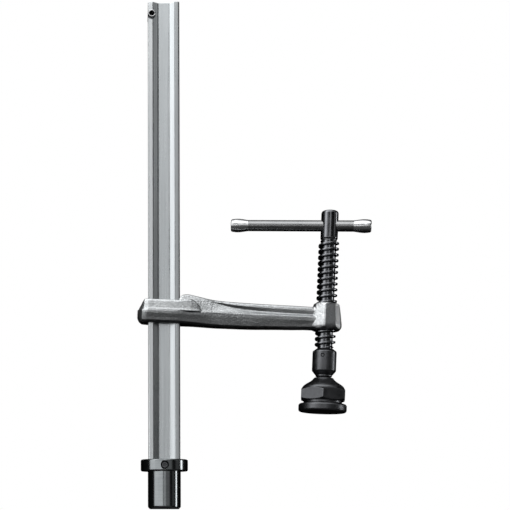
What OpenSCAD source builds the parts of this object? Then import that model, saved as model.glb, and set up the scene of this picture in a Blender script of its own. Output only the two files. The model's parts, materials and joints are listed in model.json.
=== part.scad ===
// Clamping element for a welding table: a grooved steel rail that plugs into a
// 28 mm table bore, with a sliding forged arm, a trapezoidal screw with a
// tommy bar, and a tilting hexagonal pressure pad.
//
// Frame: millimetres, +Z up along the rail, +X from the rail towards the screw.
// Origin: on the plug's axis, at the flange's underside, which is the plane of
// the table top.

/* [Rail] */
// Width of the rail, across the clamp's plane
rail_w = 27; // [24:0.5:30]
// Thickness of the rail
rail_t = 13; // [11:0.5:14]
// Length of the rail above the adapter
rail_len = 394; // [300:1:500]
// Width of each raised edge of the rail
rail_edge_w = 4.3; // [3.5:0.1:5]
// Width of the groove's flat floor
rail_floor_w = 9.8; // [8:0.1:11]
// Depth of the groove in each broad face
groove_d = 2.6; // [1:0.1:3]

/* [Table adapter] */
// Diameter of the plug that drops into the table bore
plug_d = 27.9; // [27.5:0.05:28]
// Length of the plug below the flange
plug_len = 32; // [20:1:40]
// Diameter of the flange
flange_d = 40; // [36:0.5:50]
// Height of the flange
flange_h = 10; // [8:0.5:14]
// Lead chamfer at the plug's lower end
plug_chamfer = 1.6; // [0.5:0.1:3]

/* [Sliding arm] */
// Height of the arm's ring centre above the table top
arm_z = 136.5; // [60:0.5:340]
// Lean of the arm on the rail, in degrees, taken up by the slot's play
arm_tilt = 2.7; // [2:0.1:3]
// Distance from the rail's axis to the screw's axis
reach = 138; // [125:0.5:150]
// Largest diameter of the drafted eye round the screw
eye_d = 26.8; // [25:0.1:28]

/* [Screw] */
// Outside diameter of the thread
thread_d = 17.4; // [16.5:0.1:17.6]
// Root diameter of the thread
root_d = 12.6; // [12:0.1:13.5]
// Pitch of the single-start thread
pitch = 5; // [4:0.5:6]
// Diameter of the plain head
head_d = 14.6; // [14:0.1:15.5]
// Diameter of the tommy bar
bar_d = 9.5; // [8.5:0.1:9.6]
// Length of the tommy bar over its end caps
bar_len = 119; // [100:1:140]
// Turn of the tommy bar about the screw's axis, in degrees
bar_az = -8.5; // [-30:0.5:30]
// Distance that the tommy bar is pushed through the head, off centre
bar_shift = -24.5; // [-30:0.5:30]
// Turn of the thread's start about the screw's axis, in degrees
thread_turn = 92; // [0:1:360]

/* [Pressure pad] */
// Diameter of the swivel sleeve
sleeve_d = 20.2; // [19:0.1:21]
// Distance across the flats of the pad's hexagon
pad_af = 36.5; // [34:0.5:38]
// Turn of the pad's hexagon about the screw's axis, in degrees
pad_turn = -9; // [-30:1:30]
// Diameter of the pressure disc
disc_d = 40.5; // [38:0.5:44]
// Diameter of the ball
ball_d = 16; // [15:0.5:16.5]

/* [Hidden] */
$fn = 64;
eps = 0.01;

steel = [0.70, 0.72, 0.74];
forged = [0.66, 0.68, 0.69];
black = [0.16, 0.16, 0.17];
bright = [0.80, 0.80, 0.80];
oxide = [0.24, 0.24, 0.25];

// Heights along the screw's axis, in the arm's own frame (0 = ring centre)
head_top = 92.8;
bar_z = 80;
thread_top = 67.6;
eye_top = 12.5;
eye_bot = -10.4;
thread_bot = -25.4;
sleeve_top = -25.95;
pin_z = -32.4;
journal_end = -37.6;
stud_top = journal_end - 2.2;
sleeve_bot = -48.3;
mouth_z = -50.9;
ball_z = -58.5;
hex_top = -60.2;
hex_bot = -70.5;
disc_top = -73.0;
disc_bot = -80;

// ---------- helpers ----------
// Points of an arc from angle a0 to a1 about (x, y), in steps chords
function arc(x, y, radius, a0, a1, steps) =
    [for (i = [0:steps])
        let (a = a0 + (a1 - a0) * i / steps)
        [x + radius * cos(a), y + radius * sin(a)]];

// Places its children in the arm's frame
module in_arm() { translate([0, 0, arm_z]) rotate([0, arm_tilt, 0]) children(); }

// Places its children on the screw's axis, in the arm's frame
module on_screw() { in_arm() translate([reach, 0, 0]) children(); }

// ---------- base ----------
rail_corner_r = 1.2;
tenon_r = 6;
tenon_len = 11.5;       // below the table top
lock_z = 5;             // height of the lock screw's axis
lock_flat = 0.6;        // depth of the flat on the tenon
lock_flat_cut = [14, 10, 7];
lock_tip = tenon_r - lock_flat + 0.05;
lock_hole_r = 3;
lock_r = 2.95;
lock_len = 11.7;
flange_round = 0.8;
stop_x = -rail_w / 2 + 3.3;
stop_z = flange_h + rail_len - 11;
stop_r = 3.5;

module rail_section() {
    x = rail_w / 2;
    y = rail_t / 2;
    floor_x = rail_floor_w / 2;
    corner_x = x - rail_corner_r;
    corner_y = y - rail_corner_r;
    half = concat(
        arc(corner_x, corner_y, rail_corner_r, 0, 90, 4),
        [[x - rail_edge_w, y], [floor_x, y - groove_d],
         [-floor_x, y - groove_d], [-x + rail_edge_w, y]],
        arc(-corner_x, corner_y, rail_corner_r, 90, 180, 4));
    polygon(concat(half, [for (p = half) -p]));
}

module rail() color(steel) difference() {
    tenon_h = flange_h + tenon_len + eps;
    union() {
        translate([0, 0, flange_h]) linear_extrude(rail_len) rail_section();
        // turned tenon that stands in the adapter
        translate([0, 0, -tenon_len]) rotate_extrude()
            polygon([[0, 0], [tenon_r - 1, 0], [tenon_r, 1], [tenon_r, tenon_h], [0, tenon_h]]);
    }
    // cross hole for the stop pin, near the edge away from the screw
    translate([stop_x, 0, stop_z]) rotate([90, 0, 0])
        cylinder(r = stop_r, h = rail_t + 10, center = true);
    // flat on the tenon for the lock screw
    translate([0, lock_flat - tenon_r - lock_flat_cut.y / 2, lock_z])
        cube(lock_flat_cut, center = true);
}

module table_adapter() color(oxide) difference() {
    plug_r = plug_d / 2;
    flange_r = flange_d / 2;
    lead_z = plug_chamfer - plug_len;
    rotate_extrude($fn = 96) polygon(concat(
        [[0, -plug_len], [plug_r - plug_chamfer - 0.4, -plug_len],
         [plug_r - 0.25, lead_z], [plug_r, lead_z + 0.9], [plug_r, 0],
         [flange_r - 0.7, 0], [flange_r, 0.7]],
        arc(flange_r - flange_round, flange_h - flange_round, flange_round, 0, 90, 3),
        [[0, flange_h]]));
    // blind bore for the rail's tenon
    translate([0, 0, -tenon_len - 0.5]) cylinder(r = tenon_r + 0.05, h = flange_h + 13);
    // radial tapped hole for the lock screw, and its countersink
    translate([0, 0, lock_z]) rotate([90, 0, 0]) cylinder(r = lock_hole_r, h = flange_d);
    translate([0, 0.5 - flange_r, lock_z]) rotate([90, 0, 0])
        cylinder(r1 = lock_hole_r, r2 = 3.7, h = 0.7);
}

module adapter_lock_screw() color(black) difference() {
    translate([0, -lock_tip, lock_z]) rotate([90, 0, 0]) rotate_extrude()
        polygon([[0, 0], [1.6, 0], [lock_r, 1.2], [lock_r, lock_len - 0.5],
            [lock_r - 0.45, lock_len], [0, lock_len]]);
    // hexagon socket in the outer end
    translate([0, -lock_tip - 8.2, lock_z]) rotate([90, 30, 0])
        cylinder(r = 1.75, h = 5, $fn = 6);
}

module stop_pin() color(bright) difference() {
    half_len = rail_t / 2 + 2.2;
    bore_r = 2.3;
    end_r = 2.9;
    translate([stop_x, 0, stop_z]) rotate([90, 0, 0]) rotate_extrude()
        polygon([[bore_r, -half_len], [end_r, -half_len], [stop_r, 1 - half_len],
            [stop_r, half_len - 1], [end_r, half_len], [bore_r, half_len]]);
    // the slit that lets the pin close up
    translate([stop_x + 2.5, 0, stop_z]) cube([3, 2 * half_len + 2, 0.9], center = true);
}

// ---------- arm ----------
slot_play = [1.42, 0.7];    // total play of the rail in the slot, along x and y
screw_play = 0.2;           // radial play of the thread in the eye

// Side outline of the forging, [x, z]
arm_side = [[-16.4, 8.6], [-22.4, -2.6], [-22.4, -7.4], [-20.6, -10.6], [-17, -11.3],
            [16, -11.3], [30, -11.7], [75, -11.8], [112, -10.4], [reach - 7, -9.8],
            [reach - 7, 8.9], [92, 9.4], [64, 9.8], [46, 10.4], [36, 11.7],
            [27, 13.7], [22, 14.6], [15.6, 14.3], [12.6, 10.6], [11.6, 8.8]];
// Half widths of the forging seen from above, [x, y]
arm_flank = [[-24.3, 3], [-14.8, 13.2], [11, 13.2], [24, 11.4], [44, 8.8], [70, 8],
             [reach - 4, 7.6]];
arm_plan = concat([for (p = arm_flank) [p.x, -p.y]],
                  [for (i = [len(arm_flank) - 1:-1:0]) arm_flank[i]]);
// Cross outline [y, z]: the draft on both sides of the parting line
arm_end = [[-13.4, 0.4], [-12.2, 9.4], [-12, 18], [12, 18], [12.2, 9.4], [13.4, 0.4],
           [12.2, -14], [-12.2, -14]];
// The groove of the I-section, as stations along the arm, each
// [x, height of the valley, depth there, slope up, slope down]
arm_groove = [[38, 9.2, -0.9, 1.0, 3.4], [50, 8.0, 1.4, 1.05, 3.0], [62, 5.9, 2.6, 1.0, 1.9],
              [82, 4.4, 3.0, 0.94, 1.4], [104, 3.9, 3.0, 0.94, 1.3],
              [reach - 11.4, 3.6, 2.8, 0.94, 1.3]];

// A V-shaped pocket in one side of the web (side = 1 or -1), one closed body
module arm_side_groove(side) {
    count = len(arm_groove);
    outer_y = 15.3;
    // three corners a station: upper edge, valley, lower edge
    points = [for (g = arm_groove)
        let (x = g[0], z = g[1], depth = outer_y - lookup(x, arm_flank) + g[2])
        each [[x, side * outer_y, z + g[3] * depth],
              [x, side * (outer_y - depth), z],
              [x, side * outer_y, z - g[4] * depth]]];
    walls = [for (i = [0:count - 2]) for (j = [0:2])
        let (a = i * 3 + j, b = i * 3 + (j + 1) % 3, c = a + 3, d = b + 3)
        each (side > 0 ? [[a, c, b], [b, c, d]] : [[a, b, c], [b, d, c]])];
    first = side > 0 ? [0, 1, 2] : [2, 1, 0];
    last = [for (j = [0:2]) (count - 1) * 3 + (side > 0 ? 2 - j : j)];
    polyhedron(points = points, faces = concat(walls, [first], [last]), convexity = 4);
}

module sliding_arm() color(forged) in_arm() difference() {
    union() {
        difference() {
            intersection() {
                rotate([90, 0, 0]) linear_extrude(40, center = true) polygon(arm_side);
                translate([0, 0, -20]) linear_extrude(50) polygon(arm_plan);
                translate([-30, 0, 0]) rotate([90, 0, 90])
                    linear_extrude(reach + 60) polygon(arm_end);
            }
            arm_side_groove(1);
            arm_side_groove(-1);
        }
        // eye for the screw, widest just above its rounded lower edge
        translate([reach, 0, 0]) rotate_extrude() {
            eye_r = eye_d / 2;
            polygon([[0, eye_bot], [eye_r - 2.2, eye_bot], [eye_r - 0.3, eye_bot + 2.0],
                [eye_r, eye_bot + 3.2], [eye_r - 2.3, eye_top - 1.0],
                [eye_r - 3.0, eye_top], [0, eye_top]]);
        }
    }
    // slot for the rail
    cube([rail_w + slot_play.x, rail_t + slot_play.y, 60], center = true);
    // screw hole
    translate([reach, 0, eye_bot - 1])
        cylinder(r = thread_d / 2 + screw_play, h = eye_top - eye_bot + 2);
}

// ---------- swivel ----------
journal_r = 5;
journal_bore_r = journal_r + 0.05;
stem_r = 4.5;           // of the ball stud, inside the sleeve
collar_r = 6.9;
pin_az = -108.6;        // direction of the retaining pin about the screw's axis
pin_r = 1.25;
pin_len = 5.35;
ball_r = ball_d / 2;
seat_r = ball_r + 0.04;

// Points on a sphere about the ball's centre, [radius, z], from a0 down to a1
function ball_arc(radius, a0, a1) =
    [for (a = [a0:-6:a1]) [radius * cos(a), ball_z + radius * sin(a)]];

// Points +Z outwards along the retaining pin, from a given distance off the screw's axis
module along_pin(start) {
    rotate([0, 0, pin_az]) translate([start, 0, pin_z]) rotate([0, 90, 0]) children();
}

module swivel_sleeve() color(black) on_screw() difference() {
    sleeve_r = sleeve_d / 2;
    rotate_extrude($fn = 96) polygon([
        [journal_bore_r, sleeve_top], [6.9, sleeve_top],
        [sleeve_r - 0.35, sleeve_top - 2.1], [sleeve_r, sleeve_top - 2.6],
        [sleeve_r, sleeve_bot + 3.5], [sleeve_r - 0.2, sleeve_bot + 3.1],
        [7.3, sleeve_bot], [stem_r, sleeve_bot],
        [stem_r, stud_top], [journal_bore_r, stud_top]]);
    // tapped hole for the retaining pin
    along_pin(0) cylinder(r = pin_r + 0.05, h = 20);
}

module swivel_retaining_pin() color(black) on_screw() along_pin(4.15) rotate_extrude()
    polygon([[0, 0], [0.9, 0], [pin_r, 0.5], [pin_r, pin_len - 0.35], [0.9, pin_len],
        [0, pin_len]]);

module thrust_disc() color(bright) on_screw()
    translate([0, 0, stud_top + 0.05]) cylinder(r = journal_r - 0.05, h = 2.1);

module ball_stud() color(black) on_screw()
    rotate_extrude($fn = 96) polygon(concat(
        [[0, stud_top], [stem_r - 0.5, stud_top], [stem_r, stud_top - 0.5],
         [stem_r, sleeve_bot], [collar_r, sleeve_bot], [collar_r, sleeve_bot - 1.3],
         [stem_r, sleeve_bot - 2.7], [4.4, sleeve_bot - 3.0], [4.45, ball_z + 6.9]],
        ball_arc(ball_r, 54, -84),
        [[0, ball_z - ball_r]]));

// ---------- screw ----------
// One turn of the thread's profile, [fraction of the pitch, fraction of the depth]
thread_form = [[0, 0], [0.20, 1], [0.44, 1], [0.64, 0]];

// A closed rod with a right-hand thread between z0 and z1, with n columns a turn
// and the thread fading out over a length of fade_len at each end.
// Levels below z0 or above z1 share one vertex per column, so the ends are flat.
module threaded_rod(root_r, crest_r, z0, z1, n = 24, fade_len = 2.5) {
    form_len = len(thread_form);
    levels = ceil((z1 - z0) / pitch + 1) * form_len;
    function level_z(i, k) =
        z0 - pitch + pitch * (floor(k / form_len) + thread_form[k % form_len][0] + i / n);
    function fade(z) = max(0, min(1, (z - z0) / fade_len, (z1 - z) / fade_len));
    function level_r(i, k) =
        root_r + (crest_r - root_r) * thread_form[k % form_len][1] * fade(level_z(i, k));
    // vertex ids: bottom ring 0..n-1, top ring n..2n-1, then the grid
    function id(i, k) = i == n ? id(0, min(k + form_len, levels))
        : level_z(i, k) <= z0 + 0.02 ? i
        : level_z(i, k) >= z1 - 0.02 ? n + i
        : 2 * n + i * (levels + 1) + k;
    function point(i, radius, z) = [radius * cos(360 * i / n), radius * sin(360 * i / n), z];
    points = concat(
        [for (i = [0:n - 1]) point(i, root_r, z0)],
        [for (i = [0:n - 1]) point(i, root_r, z1)],
        [for (i = [0:n - 1]) for (k = [0:levels]) point(i, level_r(i, k), level_z(i, k))]);
    triangles = [for (i = [0:n - 1]) for (k = [0:levels - 1])
        let (a = id(i, k), b = id(i + 1, k), c = id(i, k + 1), d = id(i + 1, k + 1))
        each [[a, c, b], [b, c, d]]];
    // drop the triangles that collapse where vertices are shared
    walls = [for (t = triangles) if (t[0] != t[1] && t[1] != t[2] && t[0] != t[2]) t];
    polyhedron(points = points,
        faces = concat(walls, [[for (i = [0:n - 1]) i]], [[for (i = [n - 1:-1:0]) n + i]]),
        convexity = 8);
}

module spindle() color(black) on_screw() rotate([0, 0, bar_az]) difference() {
    root_r = root_d / 2;
    head_r = head_d / 2;
    plain_r = root_r + 0.1;
    groove_r = 3.95;
    groove_half = 1.45;     // half width of the journal's groove
    union() {
        rotate([0, 0, thread_turn]) threaded_rod(root_r, thread_d / 2, thread_bot, thread_top);
        // head
        rotate_extrude() polygon([[0, thread_top], [root_r + 0.3, thread_top],
            [head_r, thread_top + 1.2], [head_r, head_top - 1.9],
            [head_r - 0.5, head_top - 0.7], [head_r - 1.9, head_top], [0, head_top]]);
        // plain end and the grooved journal that turns in the sleeve
        rotate_extrude() polygon([[0, journal_end], [journal_r - 0.6, journal_end],
            [journal_r, journal_end + 0.6], [journal_r, pin_z - groove_half],
            [groove_r, pin_z - groove_half], [groove_r, pin_z + groove_half],
            [journal_r, pin_z + groove_half], [journal_r, sleeve_top + 0.1],
            [plain_r, sleeve_top + 0.1], [plain_r, thread_bot], [0, thread_bot]]);
    }
    // cross hole for the tommy bar
    translate([0, 0, bar_z]) rotate([0, 90, 0])
        cylinder(r = bar_d / 2 + 0.25, h = 40, center = true);
}

// ---------- tommy bar ----------
bar_r = bar_d / 2;
bar_end_r = 3.4;        // of the bar inside its caps
cap_len = 15;
cap_mouth = bar_len / 2 - cap_len;
// Outside of a cap, [swell beyond the bar's radius, distance from the mouth]
cap_barrel = [[0, 0], [0.15, 1.6], [0.62, 4.4], [0.98, 7.6], [1.05, 9.4], [0.92, 11.6],
              [0.55, 14.3], [0.05, cap_len]];

// Places its children at the bar's middle, +Z towards its short end
module on_bar() {
    on_screw() rotate([0, 0, bar_az]) translate([bar_shift, 0, bar_z])
        rotate([0, 90, 0]) children();
}

module tommy_bar() color(oxide) on_bar() rotate_extrude() {
    end = bar_len / 2 - 1.5;
    polygon([[0, -end], [bar_end_r, -end], [bar_end_r, -cap_mouth], [bar_r, -cap_mouth],
             [bar_r, cap_mouth], [bar_end_r, cap_mouth], [bar_end_r, end], [0, end]]);
}

// Barrel-shaped pressed cap, its mouth at 0 and its outer end at cap_len
module cap() rotate_extrude() {
    inner_end = cap_len - 1.4;
    polygon(concat([[bar_end_r, 0]],
        [for (p = cap_barrel) [bar_r + p[0], p[1]]],
        [[0, cap_len], [0, inner_end], [bar_end_r, inner_end]]));
}

module tommy_cap_short_end() color(bright) on_bar() translate([0, 0, cap_mouth]) cap();

module tommy_cap_long_end() color(bright) on_bar()
    translate([0, 0, -cap_mouth]) mirror([0, 0, 1]) cap();

// ---------- pad ----------
spigot_r = 13;
ring_groove_r = 10.4;
ring_groove_top = ball_z - 1.2;
ring_groove_bot = ball_z - 3.6;
spigot_top = ring_groove_bot - 0.05;
ring_gap = 0.1;         // between the snap ring and its groove
// Outside of the flared neck, [radius, drop below the mouth]
pad_neck = [[8.0, 0], [8.35, 0.35], [8.8, 1.1], [9.6, 2.0], [10.6, 2.8], [11.9, 3.7],
            [13.7, 4.8], [15.7, 6.1], [17.2, 7.5]];

// The flared neck runs out into a chamfered hexagon
module pad_socket() color(black) on_screw() difference() {
    corner_r = pad_af / 2 / cos(30);
    turned_r = corner_r + 0.3;
    bore_r = spigot_r + 0.05;
    mouth_r = 7.6;
    intersection() {
        rotate_extrude($fn = 96) polygon(concat(
            [[0, mouth_z]],
            [for (p = pad_neck) [p[0], mouth_z - p[1]]],
            [[18.1, hex_top], [turned_r, hex_top - 1.9], [turned_r, hex_bot + 1.7],
             [17.6, hex_bot], [0, hex_bot]]));
        translate([0, 0, hex_bot]) rotate([0, 0, 30 + pad_turn])
            cylinder(r = corner_r, h = mouth_z - hex_bot, $fn = 6);
    }
    // mouth, ball seat and ring groove, then the bore for the disc's spigot
    rotate_extrude($fn = 96) polygon(concat(
        [[0, mouth_z + 1], [mouth_r, mouth_z + 1], [mouth_r, mouth_z]],
        ball_arc(seat_r, 36, 0),
        [[seat_r, ring_groove_top], [ring_groove_r, ring_groove_top],
         [ring_groove_r, ring_groove_bot], [bore_r, ring_groove_bot],
         [bore_r, hex_bot - 1], [0, hex_bot - 1]]));
}

module ball_snap_ring() color(bright) on_screw() rotate_extrude() {
    inner_r = 8.15;
    outer_r = ring_groove_r - ring_gap;
    bottom = ring_groove_bot + ring_gap;
    top = ring_groove_top - ring_gap;
    polygon([[inner_r, bottom], [outer_r, bottom], [outer_r, top], [inner_r, top]]);
}

module pressure_disc() color(black) on_screw() difference() {
    disc_r = disc_d / 2;
    neck_r = 16.2;
    rotate_extrude($fn = 96) polygon([
        [0, disc_bot], [disc_r - 1.4, disc_bot], [disc_r - 0.5, disc_bot + 0.5],
        [disc_r, disc_bot + 1.6], [disc_r, disc_top - 1.5],
        [disc_r - 0.4, disc_top - 0.6], [disc_r - 1.2, disc_top],
        [neck_r + 0.7, disc_top], [neck_r, disc_top + 0.6], [neck_r, hex_bot],
        [spigot_r, hex_bot], [spigot_r, spigot_top], [0, spigot_top]]);
    // spherical seat under the ball
    translate([0, 0, ball_z]) sphere(r = seat_r);
}

rail();
table_adapter();
adapter_lock_screw();
stop_pin();
sliding_arm();
swivel_sleeve();
swivel_retaining_pin();
thrust_disc();
ball_stud();
spindle();
tommy_bar();
tommy_cap_long_end();
tommy_cap_short_end();
pad_socket();
pressure_disc();
ball_snap_ring();
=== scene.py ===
import json
import math
import bpy
import bmesh
from mathutils import Vector, Matrix, noise

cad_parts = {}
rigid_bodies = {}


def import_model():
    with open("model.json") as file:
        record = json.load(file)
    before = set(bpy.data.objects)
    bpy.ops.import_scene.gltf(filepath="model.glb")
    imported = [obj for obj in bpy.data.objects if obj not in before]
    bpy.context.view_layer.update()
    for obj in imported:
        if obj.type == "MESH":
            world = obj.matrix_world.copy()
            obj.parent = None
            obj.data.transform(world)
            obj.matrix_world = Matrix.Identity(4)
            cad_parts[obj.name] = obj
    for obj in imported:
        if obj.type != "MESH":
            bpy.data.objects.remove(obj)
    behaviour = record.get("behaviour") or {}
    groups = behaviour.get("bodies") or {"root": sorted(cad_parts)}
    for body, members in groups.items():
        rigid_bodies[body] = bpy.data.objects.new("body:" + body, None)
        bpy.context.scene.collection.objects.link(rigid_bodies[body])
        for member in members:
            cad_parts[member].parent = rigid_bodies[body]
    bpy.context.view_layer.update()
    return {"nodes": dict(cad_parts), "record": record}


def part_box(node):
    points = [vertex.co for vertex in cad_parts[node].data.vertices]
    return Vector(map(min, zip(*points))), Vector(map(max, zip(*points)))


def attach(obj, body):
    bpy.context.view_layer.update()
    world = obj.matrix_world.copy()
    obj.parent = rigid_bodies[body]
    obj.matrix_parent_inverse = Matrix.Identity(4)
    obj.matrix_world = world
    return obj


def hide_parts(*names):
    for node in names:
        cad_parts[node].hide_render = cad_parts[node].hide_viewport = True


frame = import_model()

MM = 0.001
REC = frame["record"]
NODES = frame["nodes"]
JOINTS = {j["name"]: j for j in REC["behaviour"]["joints"]}

# ---------------------------------------------------------------- frame
# The screw's axis: its direction and a point on it come from the record.
U = Vector(JOINTS["spindle_turn"]["axis"]).normalized()
P0 = Vector(JOINTS["spindle_turn"]["pos_m"])
BALL = Vector(JOINTS["pad_tilt"]["pos_m"])
BARDIR = Vector(JOINTS["tommy_slide"]["axis"]).normalized()
YAX = Vector((0, 1, 0))
XA = YAX.cross(U).normalized()                     # arm's own +X
REACH = 138.0
ORIGIN = P0 - XA * REACH * MM                      # arm ring's centre
ARM = Matrix(((XA.x, YAX.x, U.x, ORIGIN.x), (XA.y, YAX.y, U.y, ORIGIN.y),
              (XA.z, YAX.z, U.z, ORIGIN.z), (0, 0, 0, 1)))   # arm frame -> row frame, metres
SCREW = Matrix(((XA.x, YAX.x, U.x, P0.x), (XA.y, YAX.y, U.y, P0.y),
                (XA.z, YAX.z, U.z, P0.z), (0, 0, 0, 1)))


# ---------------------------------------------------------------- mesh helpers (all in mm)
def make(name, verts, faces, matrix=None, smooth=40, mat=None, body=None, replaces=()):
    me = bpy.data.meshes.new(name)
    me.from_pydata([tuple(c * MM for c in v) for v in verts], [], faces)
    me.validate()
    if matrix is not None:
        me.transform(matrix)
    ob = bpy.data.objects.new(name, me)
    bpy.context.scene.collection.objects.link(ob)
    finish_mesh(ob, smooth)
    if mat is not None:
        me.materials.append(mat)
    if body:
        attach(ob, body)
    for n in replaces:
        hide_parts(n)
    return ob


def finish_mesh(ob, angle=40):
    me = ob.data
    bm = bmesh.new()
    bm.from_mesh(me)
    bmesh.ops.remove_doubles(bm, verts=bm.verts, dist=1e-7)
    bmesh.ops.recalc_face_normals(bm, faces=bm.faces)
    bm.to_mesh(me)
    bm.free()
    for p in me.polygons:
        p.use_smooth = True
    me.set_sharp_from_angle(angle=math.radians(angle))


def round_profile(pts, radii, steps=4, closed=False):
    """Rounds the corners of a polyline of (r, z) points; radii is one value or a list."""
    n = len(pts)
    out = []
    for i, p in enumerate(pts):
        r = radii[i] if isinstance(radii, (list, tuple)) else radii
        if (not closed and (i == 0 or i == n - 1)) or r <= 0:
            out.append(tuple(p))
            continue
        a, b, c = Vector(pts[(i - 1) % n]), Vector(p), Vector(pts[(i + 1) % n])
        d1, d2 = (a - b), (c - b)
        l1, l2 = d1.length, d2.length
        if l1 < 1e-6 or l2 < 1e-6:
            out.append(tuple(p))
            continue
        d1 /= l1
        d2 /= l2
        t = min(r, l1 * 0.48, l2 * 0.48)
        s, e = b + d1 * t, b + d2 * t
        for k in range(steps + 1):
            q = k / steps
            v = s * (1 - q) ** 2 + b * 2 * q * (1 - q) + e * q ** 2
            out.append(tuple(v))
    return out


def lathe(profile, segs=128, close_ends=True):
    """Turns (r, z) points about +Z. Points with r = 0 become one vertex."""
    verts, rings = [], []
    for r, z in profile:
        if r < 1e-6:
            rings.append([len(verts)])
            verts.append((0, 0, z))
        else:
            rings.append(list(range(len(verts), len(verts) + segs)))
            verts += [(r * math.cos(2 * math.pi * i / segs), r * math.sin(2 * math.pi * i / segs), z)
                      for i in range(segs)]
    faces = []
    for a, b in zip(rings, rings[1:]):
        if len(a) == 1 and len(b) == 1:
            continue
        for i in range(segs):
            j = (i + 1) % segs
            if len(a) == 1:
                faces.append((a[0], b[j], b[i]))
            elif len(b) == 1:
                faces.append((a[i], a[j], b[0]))
            else:
                faces.append((a[i], a[j], b[j], b[i]))
    return verts, faces


def boolean(ob, cutter, op="DIFFERENCE", solver="EXACT"):
    m = ob.modifiers.new("b", "BOOLEAN")
    m.operation = op
    m.solver = solver
    m.object = cutter
    apply_all(ob)
    bpy.data.objects.remove(cutter)


def apply_all(ob):
    dg = bpy.context.evaluated_depsgraph_get()
    me = bpy.data.meshes.new_from_object(ob.evaluated_get(dg))
    old = ob.data
    ob.modifiers.clear()
    ob.data = me
    bpy.data.meshes.remove(old)


def seal(ob, near=2e-5):
    """Closes the hair-thin slivers a cut leaves between two curved faces."""
    bm = bmesh.new()
    bm.from_mesh(ob.data)
    bmesh.ops.remove_doubles(bm, verts=bm.verts, dist=near)
    bmesh.ops.dissolve_degenerate(bm, edges=bm.edges, dist=1e-6)
    gap = [e for e in bm.edges if e.is_boundary]
    if gap:
        bmesh.ops.holes_fill(bm, edges=gap, sides=0)
    bm.to_mesh(ob.data)
    bm.free()


def bevel(ob, width, segments=3, angle=28):
    m = ob.modifiers.new("v", "BEVEL")
    m.width = width * MM
    m.segments = segments
    m.limit_method = "ANGLE"
    m.angle_limit = math.radians(angle)
    m.harden_normals = False
    m.use_clamp_overlap = True
    return m


def tool(name, verts, faces, matrix=None):
    return make(name, verts, faces, matrix, 180)


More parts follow.
